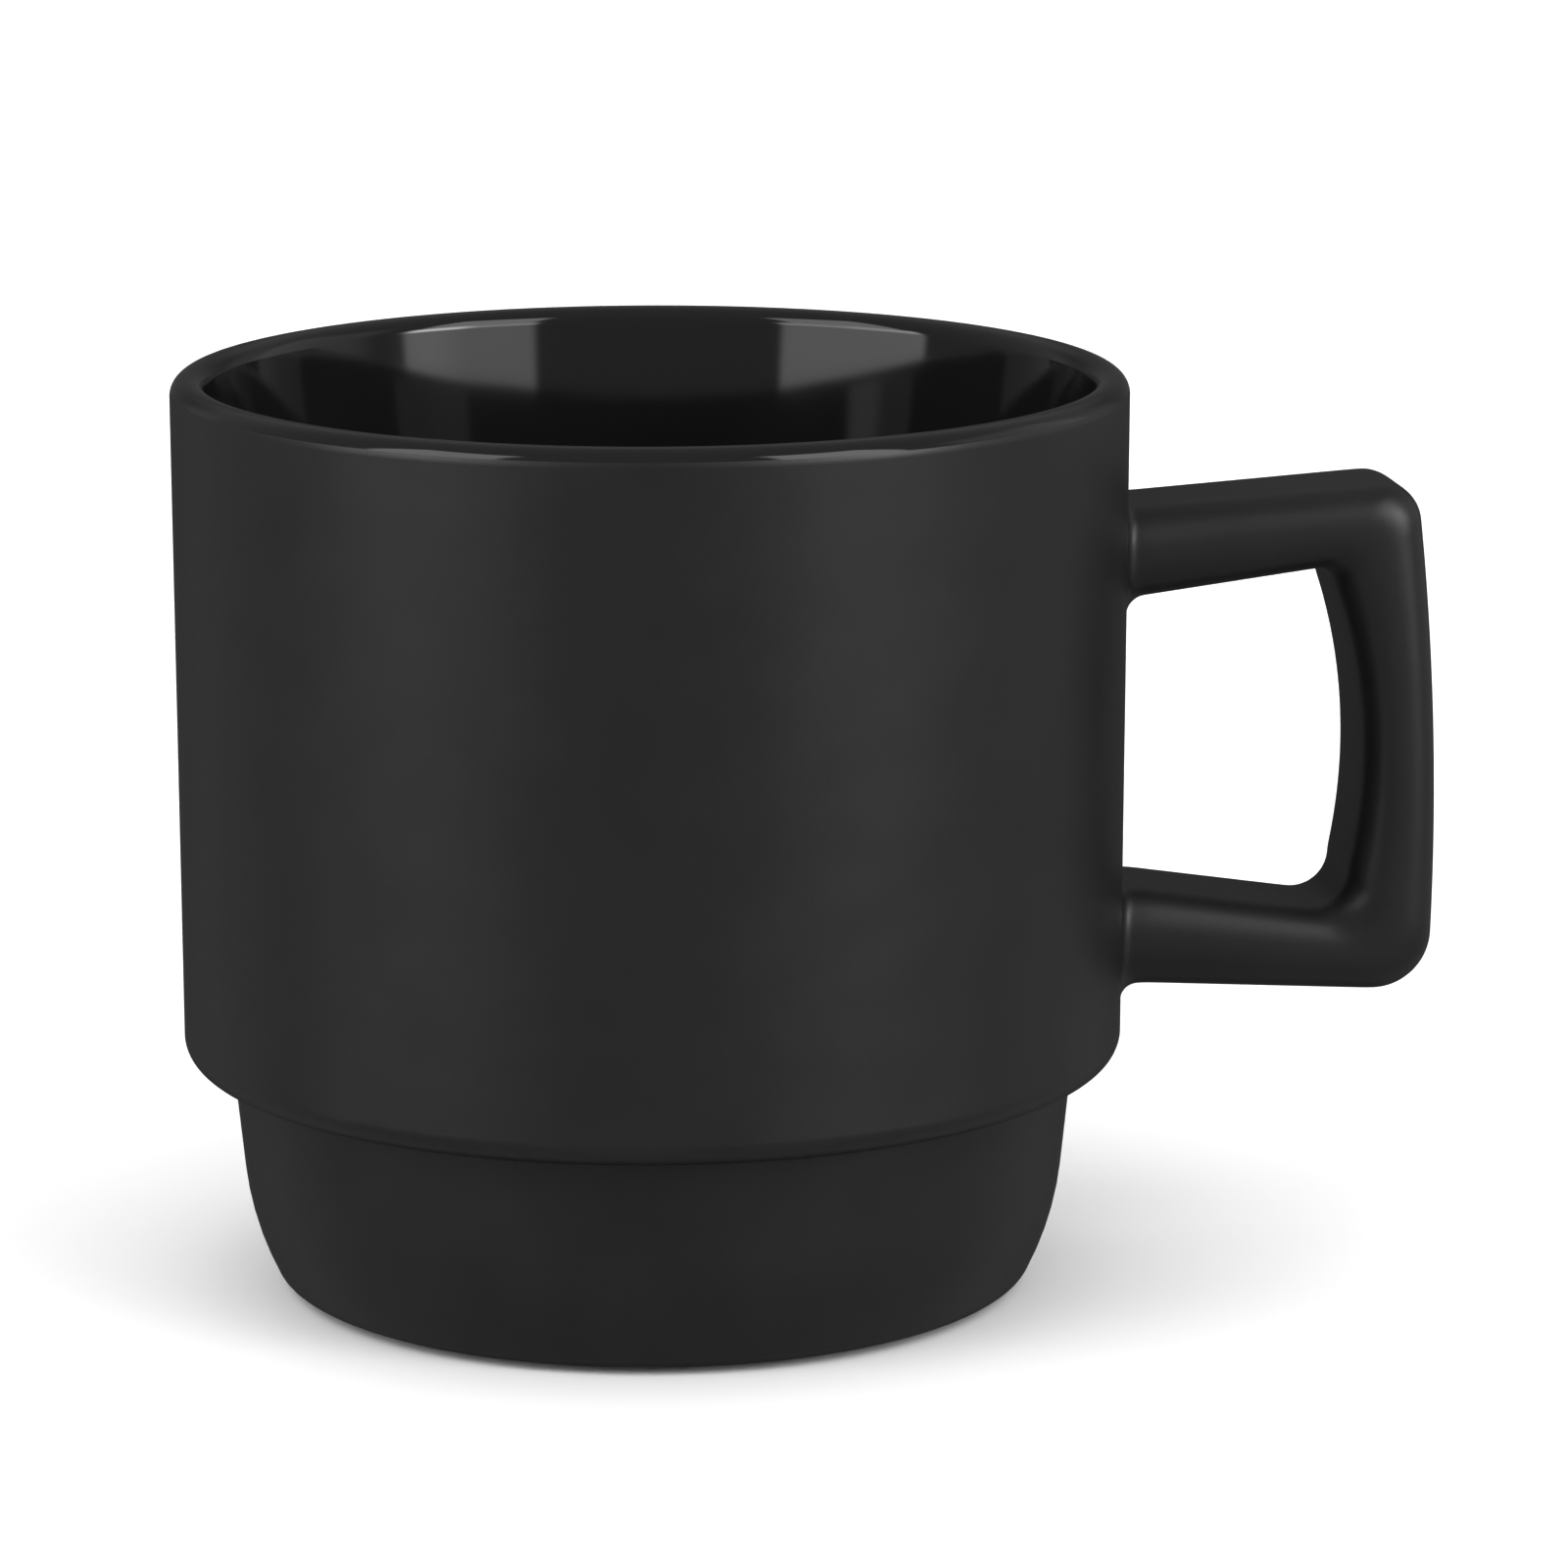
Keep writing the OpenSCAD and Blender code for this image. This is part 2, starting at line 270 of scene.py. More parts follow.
@dataclass(frozen=True)
class BowlShape:
    """Sizes of the bowl, and its outlines.

    Lengths are in millimetres and angles in degrees.  Each outline is a function of a depth
    below the glazed surface: 0 is the surface and glaze_t is the clay.

    Attributes:
        wall_draft: how much narrower the wall is at the shoulder than at the lip.
        lip_taper: slope of the wall inside the lip from upright, along lip_taper_h.
        nest_gap: clearance between the spigot and the mouth of a mug below.
        spigot_taper: slope of the spigot from upright, along taper_h.
        foot_h: height of the underside over the table.
        bare_margin: width of the clay left bare on either side of the foot ring.
        recess_rounding: rounding of the recess glaze's edge, as a share of its thickness.
        gloss_edge: angle up from the lip's outermost point at which the gloss ends.
    """

    rim_r: float
    height: float
    step_h: float
    recess_z: float
    recess_r: float
    glaze_t: float
    wall_draft: float = 0.3
    lip_t: float = 3.5
    lip_taper: float = 7.5
    lip_taper_h: float = 10.0
    lip_blend_r: float = 60.0
    shoulder_r: float = 2.4
    nest_gap: float = 1.4
    spigot_taper: float = 5.9
    taper_h: float = 9.7
    step_fillet: float = 1.0
    spigot_t: float = 5.0
    ledge_t: float = 4.6
    ledge_fillet: float = 2.6
    floor_t: float = 5.0
    floor_fillet: float = 9.0
    belly_r: float = 27.8
    heel_r: float = 1.9
    foot_h: float = 0.6
    foot_w: float = 3.0
    foot_edge_r: float = 0.4
    bare_margin: float = 0.8
    recess_rounding: float = 0.6
    gloss_edge: float = 20.0

    @classmethod
    def from_frame(cls) -> "BowlShape":
        """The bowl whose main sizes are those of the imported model."""
        mounts = {mount["name"]: mount for mount in frame["record"]["mounts"]}
        low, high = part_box("recess_glaze")
        return cls(
            rim_r=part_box("outer_glaze")[1].y / MM,
            height=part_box("liner_glaze")[1].z / MM,
            step_h=mounts["stack_shoulder"]["pos_m"][2] / MM,
            recess_z=low.z / MM,
            recess_r=high.y / MM,
            glaze_t=(high.z - low.z) / MM,
        )

    @property
    def taper(self) -> tuple[float, float]:
        """Cosine and sine of the spigot's slope from upright."""
        slope = math.radians(self.spigot_taper)
        return math.cos(slope), math.sin(slope)

    @property
    def lip(self) -> Arc:
        """The half round on top of the wall."""
        lip_r = self.lip_t / 2
        return Arc(self.rim_r - lip_r, self.height - lip_r, lip_r)

    @property
    def lip_blend(self) -> Arc:
        """The slow curve between the slope inside the lip and the straight wall."""
        slope = math.radians(self.lip_taper)
        cos, sin = math.cos(slope), math.sin(slope)
        x = self.lip.x - self.lip.radius * cos - self.lip_taper_h * sin
        z = self.lip.z + self.lip.radius * sin - self.lip_taper_h * cos
        return Arc(x + self.lip_blend_r * cos, z - self.lip_blend_r * sin, self.lip_blend_r)

    @property
    def shoulder(self) -> Arc:
        """The corner between the outer wall and the underside of the step."""
        x = self.rim_r - self.wall_draft - self.shoulder_r
        return Arc(x, self.step_h + self.shoulder_r, self.shoulder_r)

    @property
    def spigot_r(self) -> float:
        """Radius of the spigot under the step."""
        return self.rim_r - self.lip_t - self.nest_gap

    @property
    def under_step(self) -> Arc:
        """The hollow corner under the step."""
        fillet = self.step_fillet
        return Arc(self.spigot_r + fillet, self.step_h - fillet, fillet)

    @property
    def belly(self) -> Arc:
        """The curve below the spigot's taper."""
        cos, sin = self.taper
        corner = self.under_step
        x = corner.x - corner.radius * cos - self.taper_h * sin / cos
        z = corner.z + corner.radius * sin - self.taper_h
        return Arc(x - self.belly_r * cos, z + self.belly_r * sin, self.belly_r)

    @property
    def heel(self) -> Arc:
        """The corner between the side and the underside, touching the belly's curve."""
        belly = self.belly
        z = self.foot_h + self.heel_r
        reach = math.sqrt((self.belly_r - self.heel_r) ** 2 - (z - belly.z) ** 2)
        angle = math.degrees(math.atan2(z - belly.z, reach))
        return Arc(belly.x + reach, z, self.heel_r, angle, -90)

    @property
    def foot_in_r(self) -> float:
        """Inside radius of the foot ring."""
        return self.recess_r + self.bare_margin

    @property
    def ledge(self) -> tuple[Arc, Arc]:
        """The hollow and the round corner over the step, inside the bowl."""
        bowl_r = self.lip_blend.x - self.lip_blend_r
        z = self.step_h + self.ledge_t
        well_r = self.spigot_r - self.spigot_t
        bend = bowl_r - well_r - self.ledge_fillet
        hollow = Arc(bowl_r - self.ledge_fillet, z + self.ledge_fillet, self.ledge_fillet)
        return hollow, Arc(well_r + bend, z - bend, bend)

    @property
    def floor(self) -> Arc:
        """The hollow corner round the inside floor."""
        cos, sin = self.taper
        edge = self.ledge[1]
        floor_z = self.recess_z + self.floor_t
        end_z = floor_z + self.floor_fillet * (1 - sin)
        fall = edge.z - edge.radius * sin - end_z
        x = edge.x - edge.radius * cos - fall * sin / cos
        return Arc(x - self.floor_fillet * cos, floor_z + self.floor_fillet, self.floor_fillet)

    def outside(self, depth: float) -> list[Arc]:
        """Outline from the edge of the gloss, down the wall and in to the underside."""
        lip, shoulder, belly, heel = self.lip, self.shoulder, self.belly, self.heel
        corner = self.under_step
        taper = self.spigot_taper
        return [
            replace(lip, radius=lip.radius - depth, start=self.gloss_edge, end=0),
            replace(shoulder, radius=shoulder.radius - depth, start=0, end=-90),
            replace(corner, radius=corner.radius + depth, start=90, end=180 - taper),
            replace(belly, radius=belly.radius - depth, start=-taper, end=heel.start),
            replace(heel, radius=heel.radius - depth),
        ]

    def inside(self, depth: float) -> list[Arc]:
        """Outline from the edge of the gloss, over the lip and in to the floor's middle."""
        lip, blend, floor = self.lip, self.lip_blend, self.floor
        hollow, bend = self.ledge
        taper = self.spigot_taper
        slope = 180 - self.lip_taper
        return [
            replace(lip, radius=lip.radius - depth, start=self.gloss_edge, end=slope),
            replace(blend, radius=blend.radius - depth, start=slope, end=180),
            replace(hollow, radius=hollow.radius + depth, start=0, end=-90),
            replace(bend, radius=bend.radius - depth, start=90, end=180 + taper),
            replace(floor, radius=floor.radius + depth, start=-taper, end=-90),
            Arc(0, self.recess_z + self.floor_t - depth),
        ]

    def foot(self) -> list[Arc]:
        """Outline of the bare foot ring and the clay inside it, out to in."""
        out_r = self.foot_in_r + self.foot_w
        edge = self.foot_edge_r
        return [
            Arc(out_r, self.foot_h + self.glaze_t),
            Arc(out_r - edge, edge, edge, 0, -90),
            Arc(self.foot_in_r + edge, edge, edge, -90, -180),
            Arc(self.foot_in_r, self.recess_z + self.glaze_t),
            Arc(0, self.recess_z + self.glaze_t),
        ]

    def wall_r(self, z: float) -> float:
        """Radius of the outer wall at a height between the shoulder and the lip."""
        share = (self.lip.z - z) / (self.lip.z - self.shoulder.z)
        return self.rim_r - self.wall_draft * share


# ----------------------------------------------------------------------------------------
# The handle
# ----------------------------------------------------------------------------------------


class Side(Enum):
    """Side of the handle's loop, and its place in the pair of heights that an arm gives."""

    OUTER = 0
    INNER = 1


@dataclass(frozen=True)
class Station:
    """One section of the handle, a rounded rectangle across its loop.

    Attributes:
        middle: middle of the section in the XZ plane, in millimetres.
        tilt: direction of its outer side, in radians, 0 along +X and a quarter turn up.
        half_t: half of its thickness, from the loop's inside to its outside.
        half_w: half of its width across the loop.
        lift: height above the wall that it follows, or None away from the wall.
    """

    middle: Vector
    tilt: float
    half_t: float
    half_w: float
    lift: float | None = None


def rounded(
    before: Vector, corner: Vector, after: Vector, radius: float, steps: int
) -> list[Vector]:
    """Replaces the corner of a path that turns clockwise by an arc.

    Args:
        before: a point on the path before the corner.
        corner: the corner.
        after: a point after it.
        radius: radius of the arc.
        steps: straight segments along it.

    Returns:
        The arc's points, its two ends among them.
    """
    u, v = (before - corner).normalized(), (after - corner).normalized()
    half = u.angle(v) / 2
    centre = corner + (u + v).normalized() * (radius / math.sin(half))
    spoke = corner + u * (radius / math.tan(half)) - centre
    turn = (2 * half - math.pi) / steps
    return [centre + Matrix.Rotation(turn * i, 2) @ spoke for i in range(steps + 1)]


def bowed(start: Vector, end: Vector, bow: float, steps: int) -> list[Vector]:
    """Points between two ends, without the ends, on a shallow curve.

    Args:
        start: one end.
        end: the other end.
        bow: how far the middle stands off the straight line, to the left of the way.
        steps: segments between the two ends.

    Returns:
        The points in order.
    """
    way = end - start
    side = Vector((-way.y, way.x)).normalized()
    shares = (i / steps for i in range(1, steps))
    return [start + way * t + side * bow * 4 * t * (1 - t) for t in shares]


@dataclass(frozen=True)
class HandleShape:
    """Sizes of the handle in millimetres, and its sections from root to root.

    Attributes:
        bowl: the bowl that it stands on.
        upper_drop: how far the upper arm's root lies below the lip.
        lower_rise: how far the lower arm's root lies above the step.
        upper_climb: rise of the upper arm's outer side along its reach.
        lower_fall: fall of the lower arm's outer side along its reach.
        corner_t: thickness of both arms at the loop's corners.
        outer_bow: outward bow of the grip's outer side between the corners.
        inner_bow: outward bow of its inner side.
        width: width of the handle across the loop.
        edge_r: radius of its long edges.
    """

    bowl: BowlShape
    upper_drop: float = 13.2
    lower_rise: float = 5.8
    upper_arm_t: float = 8.8
    lower_arm_t: float = 9.7
    upper_climb: float = 1.9
    lower_fall: float = 1.8
    corner_t: float = 8.2
    upper_reach: float = 28.3
    lower_reach: float = 30.4
    grip_t: float = 8.4
    outer_bow: float = 0.7
    inner_bow: float = 1.9
    # Corner radii at the upper and at the lower arm.
    outer_corner_r: tuple[float, float] = (3.9, 5.6)
    inner_corner_r: tuple[float, float] = (1.7, 3.5)
    width: float = 15.0
    edge_r: float = 3.6
    # Radii of the joints' fillets above, beside and below an arm.
    fillet_top: float = 1.1
    fillet_side: float = 0.9
    fillet_below: float = 2.0
    # How deep the fillet's rim lies in the wall's glaze.
    sink: float = 0.05
    arm_steps: int = 8
    corner_steps: int = 10
    grip_steps: int = 22
    fillet_steps: int = 7

    def upper_arm(self, x: float) -> tuple[float, float]:
        """Heights of the upper arm's outer and inner side at a distance from the axis."""
        along = (x - self.bowl.rim_r) / self.upper_reach
        top = self.bowl.height - self.upper_drop
        narrowing = self.upper_arm_t - self.corner_t
        outer = top + self.upper_climb * along
        return outer, top - self.upper_arm_t + (self.upper_climb + narrowing) * along

    def lower_arm(self, x: float) -> tuple[float, float]:
        """Heights of the lower arm's outer and inner side at a distance from the axis."""
        along = (x - self.bowl.rim_r) / self.lower_reach
        low = self.bowl.step_h + self.lower_rise
        narrowing = self.lower_arm_t - self.corner_t
        outer = low - self.lower_fall * along
        return outer, low + self.lower_arm_t - (self.lower_fall + narrowing) * along

    @property
    def root_x(self) -> float:
        """Distance from the axis at which the arms are clear of their fillets."""
        return self.bowl.rim_r + max(self.fillet_top, self.fillet_below)

    def side(
        self, which: Side, inset: float, radii: tuple[float, float], bow: float
    ) -> list[Vector]:
        """One side of the loop between its two roots.

        Args:
            which: the side.
            inset: how far it lies inside the handle's outer face at the grip.
            radii: radii of the side's upper and lower corner.
            bow: outward bow of the side along the grip.

        Returns:
            The side's points, the same number for either side.
        """
        upper_x = self.bowl.rim_r + self.upper_reach
        lower_x = self.bowl.rim_r + self.lower_reach
        root = Vector((self.root_x, self.upper_arm(self.root_x)[which.value]))
        last = Vector((self.root_x, self.lower_arm(self.root_x)[which.value]))
        upper = Vector((upper_x - inset, self.upper_arm(upper_x)[which.value]))
        lower = Vector((lower_x - inset, self.lower_arm(lower_x)[which.value]))
        first_bend = rounded(root, upper, lower, radii[0], self.corner_steps)
        second_bend = rounded(upper, lower, last, radii[1], self.corner_steps)
        return [
            root,
            *bowed(root, first_bend[0], 0, self.arm_steps),
            *first_bend,
            *bowed(first_bend[-1], second_bend[0], bow, self.grip_steps),
            *second_bend,
            *bowed(second_bend[-1], last, 0, self.arm_steps),
            last,
        ]

    def loop(self) -> list[Station]:
        """Sections of the loop between its two roots."""
        outer_side = self.side(Side.OUTER, 0, self.outer_corner_r, self.outer_bow)
        inner_side = self.side(Side.INNER, self.grip_t, self.inner_corner_r, self.inner_bow)
        stations = []
        for outer, inner in zip(outer_side, inner_side):
            across = outer - inner
            tilt = math.atan2(across.y, across.x)
            stations.append(
                Station((outer + inner) / 2, tilt, across.length / 2, self.width / 2)
            )
        return stations

    def fillet(self, arm: Callable[[float], tuple[float, float]], up: bool) -> list[Station]:
        """Sections of an arm's fillet, from the wall outwards.

        Args:
            arm: heights of the arm's outer and inner side at a distance from the axis.
            up: whether the arm's outer side is its upper side.

        Returns:
            The sections in order, the first one sunk in the wall's glaze.
        """
        largest = max(self.fillet_top, self.fillet_below)
        stations = []
        for i in range(self.fillet_steps):
            turn = math.pi / 2 * i / self.fillet_steps
            lift = largest * (1 - math.cos(turn))
            outer, inner = arm(self.bowl.rim_r + lift)
            top = max(outer, inner) + self.spread(self.fillet_top, lift)
            low = min(outer, inner) - self.spread(self.fillet_below, lift)
            x = self.bowl.wall_r((top + low) / 2) + lift
            stations.append(
                Station(
                    Vector((x, (top + low) / 2)),
                    math.pi / 2 if up else -math.pi / 2,
                    (top - low) / 2,
                    self.width / 2 + self.spread(self.fillet_side, lift),
                    lift if i else -self.sink,
                )
            )
        return stations

    @staticmethod
    def spread(radius: float, lift: float) -> float:
        """How much wider than the arm a fillet is, at a height above the wall."""
        if lift >= radius:
            return 0.0
        return radius - math.sqrt(radius**2 - (radius - lift) ** 2)

    def stations(self) -> list[Station]:
        """Every section of the handle, from the upper joint to the lower one."""
        upper = self.fillet(self.upper_arm, up=True)
        lower = self.fillet(self.lower_arm, up=False)
        return [*upper, *self.loop(), *reversed(lower)]


class Sweep:
    """Extrudes a rounded section from station to station."""

    EDGE_SEGMENTS = 6
    FLAT_CUTS = 3
    # How far above and below a section its vertices may lie, in millimetres.
    SLACK = 1.0
    # Digits to which two vertices of a section are equally far from its middle, in metres.
    DIGITS = 7

    def __init__(self, name: str, section: Station, edge_r: float) -> None:
        """Draws the section, upright.

        Args:
            name: name of the new piece.
            section: its size and place.
            edge_r: radius of its four corners, in millimetres.
        """
        clear_selection()
        bpy.ops.mesh.primitive_plane_add(size=2, rotation=(0, math.pi / 2, 0))
        self.piece: bpy.types.Object = bpy.context.active_object
        self.piece.name = name
        self.piece.scale = (section.half_t * MM, section.half_w * MM, 1)
        bpy.ops.object.transform_apply(location=True, rotation=True, scale=True)
        bpy.ops.object.mode_set(mode="EDIT")
        bpy.ops.mesh.select_all(action="SELECT")
        bpy.ops.mesh.bevel(
            offset=edge_r * MM, segments=self.EDGE_SEGMENTS, affect="VERTICES", profile=0.5
        )
        bpy.ops.mesh.delete(type="ONLY_FACE")
        flat = (section.half_w - edge_r) * MM
        select_vertices(self.piece, lambda place: abs(place.y) < flat + SAME_PLACE)
        bpy.ops.mesh.subdivide(number_cuts=self.FLAT_CUTS)
        bpy.ops.mesh.select_all(action="SELECT")
        bpy.ops.transform.translate(value=self.place(section))
        self.now = section

    @staticmethod
    def place(station: Station) -> Vector:
        """Middle of a section, in metres."""
        return Vector((station.middle.x, 0.0, station.middle.y)) * MM

    def start_at(self, station: Station) -> None:
        """Moves the drawn section to the first station and gives it its size."""
        middle = self.place(station)
        bpy.ops.transform.translate(value=middle - self.place(self.now))
        bpy.ops.transform.resize(
            value=(1, station.half_w / self.now.half_w, station.half_t / self.now.half_t),
            center_override=middle,
        )
        self.now = station

    def extrude_to(self, station: Station) -> None:
        """Extrudes the last section to a station, turns it and gives it its size."""
        middle = self.place(station)
        bpy.ops.mesh.extrude_region_move(
            TRANSFORM_OT_translate={"value": middle - self.place(self.now)}
        )
        bpy.ops.transform.rotate(
            value=station.tilt - self.now.tilt, orient_axis="Y", center_override=middle
        )
        outwards = Vector((math.cos(station.tilt), 0.0, math.sin(station.tilt)))
        sideways = Vector((0.0, 1.0, 0.0))
        bpy.ops.transform.resize(
            value=(station.half_t / self.now.half_t, station.half_w / self.now.half_w, 1),
            orient_type="GLOBAL",
            orient_matrix=(outwards, sideways, outwards.cross(sideways)),
            orient_matrix_type="GLOBAL",
            center_override=middle,
        )
        self.now = station

    def wrap(self, station: Station, wall_r: float) -> None:
        """Bends a section near the wall to the wall's curve.

        Args:
            station: the section, which still lies in a plane.
            wall_r: radius of the wall behind it, in millimetres.
        """
        plane = self.place(station).x
        reach = (station.half_t + self.SLACK) * MM
        level = station.middle.y * MM
        bend_r = (wall_r + station.lift) * MM
        mesh = bmesh.from_edit_mesh(self.piece.data)
        offsets = sorted(
            {
                round(abs(vertex.co.y), self.DIGITS)
                for vertex in mesh.verts
                if abs(vertex.co.x - plane) < SAME_PLACE and abs(vertex.co.z - level) < reach
            }
        )
        for offset in offsets:
            select_vertices(
                self.piece,
                lambda place: abs(place.x - plane) < SAME_PLACE
                and abs(place.z - level) < reach
                and abs(abs(place.y) - offset) < SAME_PLACE,
            )
            shift = math.sqrt(bend_r**2 - offset**2) - plane
            bpy.ops.transform.translate(value=(shift, 0, 0))

    def finish(self, thickness: float) -> bpy.types.Object:
        """Smooths the skin and gives it its thickness, inwards.

        Args:
            thickness: thickness of the skin, in millimetres.

        Returns:
            The piece, in object mode and shaded.
        """
        bpy.ops.mesh.select_all(action="SELECT")
        bpy.ops.mesh.normals_make_consistent(inside=False)
        bpy.ops.object.mode_set(mode="OBJECT")
        apply_modifier(self.piece, "SUBSURF", levels=1, render_levels=1)
        apply_modifier(
            self.piece, "SOLIDIFY", thickness=thickness * MM, offset=-1, use_even_offset=True
        )
        smooth(self.piece)
        return self.piece


# ----------------------------------------------------------------------------------------
# Shader nodes
# ----------------------------------------------------------------------------------------


class Value:
    """A number that varies over a surface, with operators that add Math nodes."""

    def __init__(self, graph: "Graph", socket: bpy.types.NodeSocket) -> None:
        """Wraps an output socket.

        Args:
            graph: the nodes that it belongs to.
            socket: the output that gives the number.
        """
        self.graph = graph
        self.socket = socket

    def __add__(self, other: "Value | float") -> "Value":
        """Sum."""
        return self.graph.math("ADD", self, other)

    def __sub__(self, other: "Value | float") -> "Value":
        """Difference."""
        return self.graph.math("SUBTRACT", self, other)

    def __rsub__(self, other: float) -> "Value":
        """Difference from a plain number."""
        return self.graph.math("SUBTRACT", other, self)

    def __mul__(self, other: "Value | float") -> "Value":
        """Product."""
        return self.graph.math("MULTIPLY", self, other)

    __radd__ = __add__
    __rmul__ = __mul__


class Graph:
    """The node tree of a new material or of the studio's dome."""

    # Places of a Mix node's colour sockets among its inputs and its outputs.
    MIX_FROM = 6
    MIX_TO = 7
    MIX_COLOUR = 2

    def __init__(self, owner: bpy.types.Material | bpy.types.World) -> None:
        """Empties the owner's node tree.

        Args:
            owner: a new material or world.
        """
        owner.use_nodes = True
        self.owner = owner
        self.tree = owner.node_tree
        self.tree.nodes.clear()

    @classmethod
    def of_material(cls, name: str) -> "Graph":
        """The node tree of a new material."""
        return cls(bpy.data.materials.new(name))

    def add(
        self,
        kind: str,
        settings: dict[str, object] | None = None,
        inputs: dict[str | int, object] | None = None,
    ) -> bpy.types.Node:
        """Adds a node.

        Args:
            kind: Blender's name for the type of node.
            settings: properties of the node, set first.
            inputs: numbers, colours, values or sockets of its inputs, by name or place.

        Returns:
            The node.
        """
        node = self.tree.nodes.new(kind)
        for name, setting in (settings or {}).items():
            setattr(node, name, setting)
        for name, given in (inputs or {}).items():
            socket = node.inputs[name]
            if isinstance(given, Value):
                self.tree.links.new(given.socket, socket)
            elif isinstance(given, bpy.types.NodeSocket):
                self.tree.links.new(given, socket)
            else:
                socket.default_value = given
        return node

    def math(self, operation: str, a: "Value | float", b: "Value | float") -> Value:
        """Result of a Math node on two numbers."""
        node = self.add("ShaderNodeMath", {"operation": operation}, {0: a, 1: b})
        return Value(self, node.outputs["Value"])

    def place(self) -> bpy.types.NodeSocket:
        """Place on the object, in metres."""
        return self.add("ShaderNodeTexCoord").outputs["Object"]

    def noise(self, size: float, detail: float = 2.0, roughness: float = 0.5) -> Value:
        """Soft random pattern from 0 to 1.

        Args:
            size: size of its largest features, in millimetres.
            detail: how many finer layers it has.
            roughness: how strong those are.

        Returns:
            The pattern, about a half on average.
        """
        inputs = {
            "Vector": self.place(),
            "Scale": 1 / (size * MM),
            "Detail": detail,
            "Roughness": roughness,
        }
        return Value(self, self.add("ShaderNodeTexNoise", None, inputs).outputs["Fac"])

    def dots(self, spacing: float, radius: float, share: float) -> Value:
        """Scattered round dots, 1 in the middle of a dot and 0 between dots.

        Args:
            spacing: mean distance between the places where a dot may be, in millimetres.
            radius: radius of a dot, in millimetres.
            share: share of those places that have a dot, from 0 to 1.

        Returns:
            The pattern.
        """
        cells = self.add(
            "ShaderNodeTexVoronoi",
            {"feature": "F1"},
            {"Vector": self.place(), "Scale": 1 / (spacing * MM), "Randomness": 1.0},
        )
        near = self.band(Value(self, cells.outputs["Distance"]), radius / spacing, 0.0)
        pick = self.add("ShaderNodeSeparateColor", None, {"Color": cells.outputs["Color"]})
        chance = Value(self, pick.outputs["Red"])
        return near * self.math("LESS_THAN", chance, share)

    def band(self, value: Value, low: float, high: float) -> Value:
        """Rises smoothly from 0 at low to 1 at high, and stays level beyond them."""
        node = self.add(
            "ShaderNodeMapRange",
            {"interpolation_type": "SMOOTHSTEP"},
            {"Value": value, "From Min": low, "From Max": high},
        )
        return Value(self, node.outputs["Result"])

    def mix(
        self, share: Value, a: "Colour | bpy.types.NodeSocket", b: Colour
    ) -> bpy.types.NodeSocket:
        """Colour that goes from a, where the share is 0, to b, where it is 1."""
        first = a if isinstance(a, bpy.types.NodeSocket) else (*a, 1.0)
        node = self.add(
            "ShaderNodeMix",
            {"data_type": "RGBA", "clamp_factor": True},
            {"Factor": share, self.MIX_FROM: first, self.MIX_TO: (*b, 1.0)},
        )
        return node.outputs[self.MIX_COLOUR]

    def bump(
        self, height: Value, depth: float, under: bpy.types.NodeSocket | None = None
    ) -> bpy.types.NodeSocket:
        """Normal of a surface that a pattern raises.

        Args:
            height: the pattern.
            depth: height of the surface where the pattern is 1, in millimetres.
            under: normal of a coarser relief below this one.

        Returns:
            The bumped normal.
        """
        inputs = {"Strength": 1.0, "Distance": depth * MM, "Height": height}
        if under is not None:
            inputs["Normal"] = under
        return self.add("ShaderNodeBump", None, inputs).outputs["Normal"]

    def surface(self, inputs: dict[str | int, object]) -> bpy.types.Material:
        """Adds the Principled shader and the output.

        Args:
            inputs: what goes to the shader's sockets.

        Returns:
            The finished material.
        """
        shader = self.add("ShaderNodeBsdfPrincipled", None, inputs)
        self.add("ShaderNodeOutputMaterial", None, {"Surface": shader.outputs["BSDF"]})
        return self.owner


# ----------------------------------------------------------------------------------------
# Finishes
# ----------------------------------------------------------------------------------------


@dataclass(frozen=True)
class Finish(ABC):
    """A finish of the mug, and the record's slot that it fills."""

    slot: Slot

    @abstractmethod
    def material(self) -> bpy.types.Material:
        """Makes the finish's material."""


@dataclass(frozen=True)
class SatinGlaze(Finish):
    """Satin-matte black glaze with faint mottling and very fine pits."""

    slot: Slot = Slot.SATIN
    dark: Colour = (0.0058, 0.0058, 0.0059)
    light: Colour = (0.0074, 0.0074, 0.0075)
    roughness: float = 0.40
    mottle_roughness: float = 0.08
    pit_roughness: float = 0.2
    ior: float = 1.46
    # Values of the mottling and grain between which the colour goes from dark to light.
    tone_range: tuple[float, float] = (0.3, 0.7)
    # Height of the grain beside the depth of a pit.
    grain_height: float = 0.6

    def material(self) -> bpy.types.Material:
        """Makes the material."""
        graph = Graph.of_material("satin_black_glaze")
        mottle = graph.noise(size=7, detail=3)
        grain = graph.noise(size=0.45, detail=2, roughness=0.6)
        pits = graph.dots(spacing=1.7, radius=0.16, share=0.35)
        tone = graph.band(mottle * 0.5 + grain * 0.5, *self.tone_range)
        swell = graph.bump(graph.noise(size=9, detail=1), depth=0.06)
        relief = graph.bump(grain * self.grain_height - pits, depth=0.012, under=swell)
        return graph.surface(
            {
                "Base Color": graph.mix(tone, self.dark, self.light),
                "Roughness": self.roughness
                + (mottle - 0.5) * self.mottle_roughness
                + pits * self.pit_roughness,
                "IOR": self.ior,
                "Normal": relief,
            }
        )


